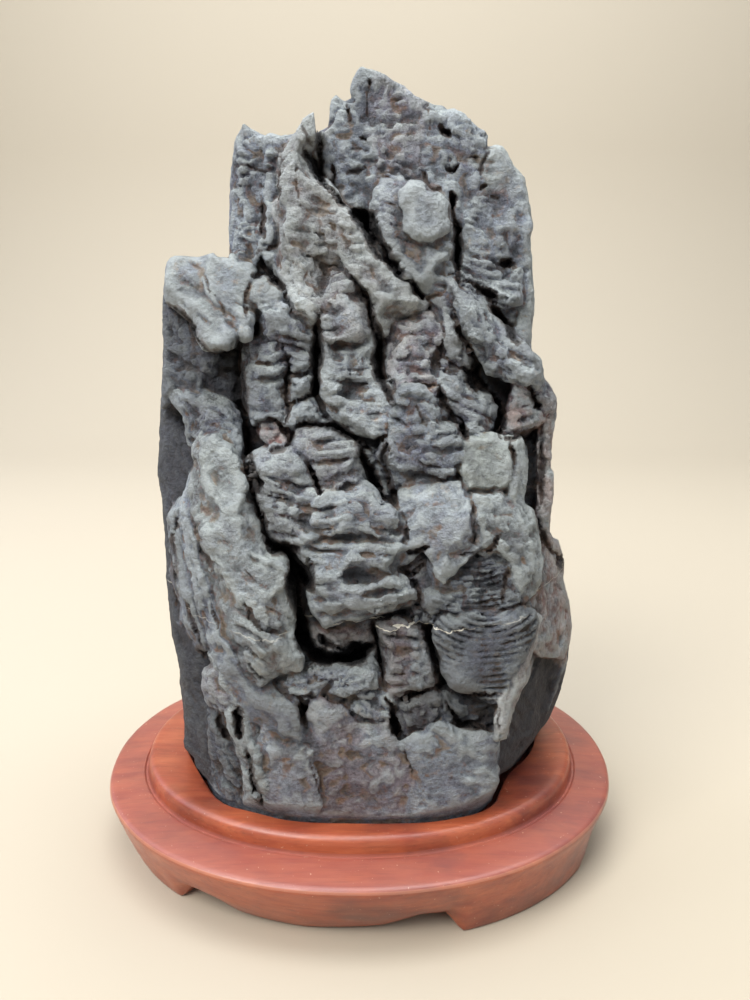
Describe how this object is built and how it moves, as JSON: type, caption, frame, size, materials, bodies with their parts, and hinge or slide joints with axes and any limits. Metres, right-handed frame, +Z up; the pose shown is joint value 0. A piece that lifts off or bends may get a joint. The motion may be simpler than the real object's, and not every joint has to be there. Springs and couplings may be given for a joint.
{
  "type": "suiseki viewing stone on a stand",
  "caption": "Tall craggy dark viewing stone resting in the pocket of a low oval carved wooden stand.",
  "frame": {"origin": "on the surface it stands on, under the middle of the oval stand", "axes": "+Z up, -Y towards the viewer, +X to the viewer's right along the stand's long axis"},
  "size_m": [0.2158, 0.166, 0.3026],
  "materials": {
    "stone": "matte",
    "stand_wood": "satin"
  },
  "bodies": {
    "root": {"stone": "stone", "stand": "stand_wood"}
  },
  "joints": []
}
